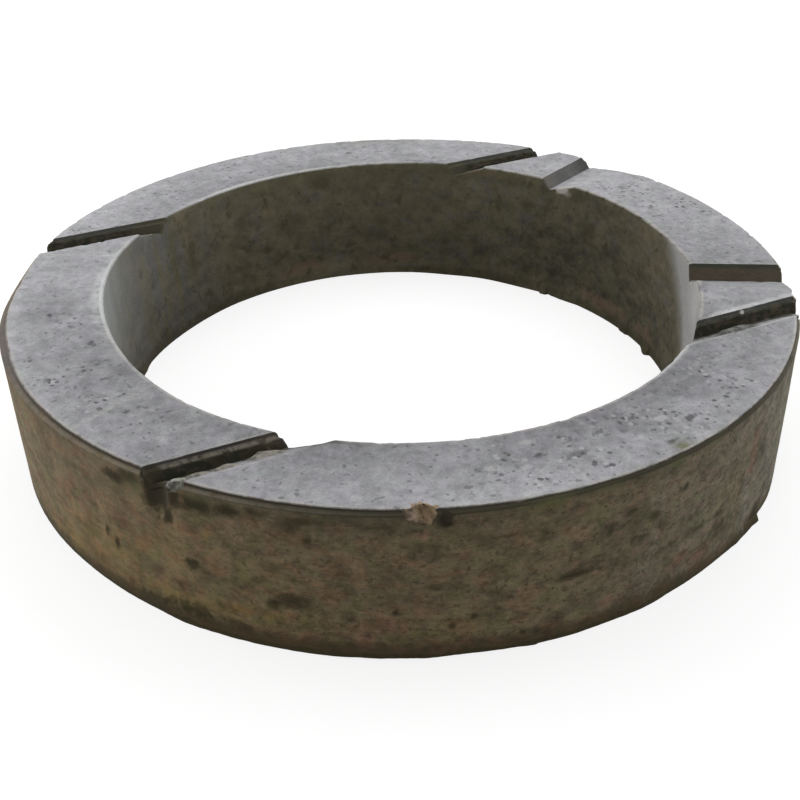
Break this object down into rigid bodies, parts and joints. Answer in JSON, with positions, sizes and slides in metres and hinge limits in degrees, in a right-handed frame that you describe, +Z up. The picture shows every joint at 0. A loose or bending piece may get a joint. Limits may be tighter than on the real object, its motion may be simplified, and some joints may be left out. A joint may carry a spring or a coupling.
{
  "type": "concrete culvert ring",
  "caption": "Low cast concrete ring with a slightly tapered bore, a thick wall, two straight grooves and saw-tooth notches across its top face.",
  "frame": {"origin": "on the ring's axis at the level of its foot", "axes": "+Z up along the ring's axis, +X along the two straight grooves of the top face, towards the side with the saw-tooth notches"},
  "size_m": [0.812, 0.812, 0.15],
  "materials": {
    "cast_concrete": "weathered cast concrete, pale on top and earth-stained brown and olive round the wall and in the bore"
  },
  "bodies": {
    "root": {"culvert_ring": "cast_concrete"}
  },
  "joints": []
}
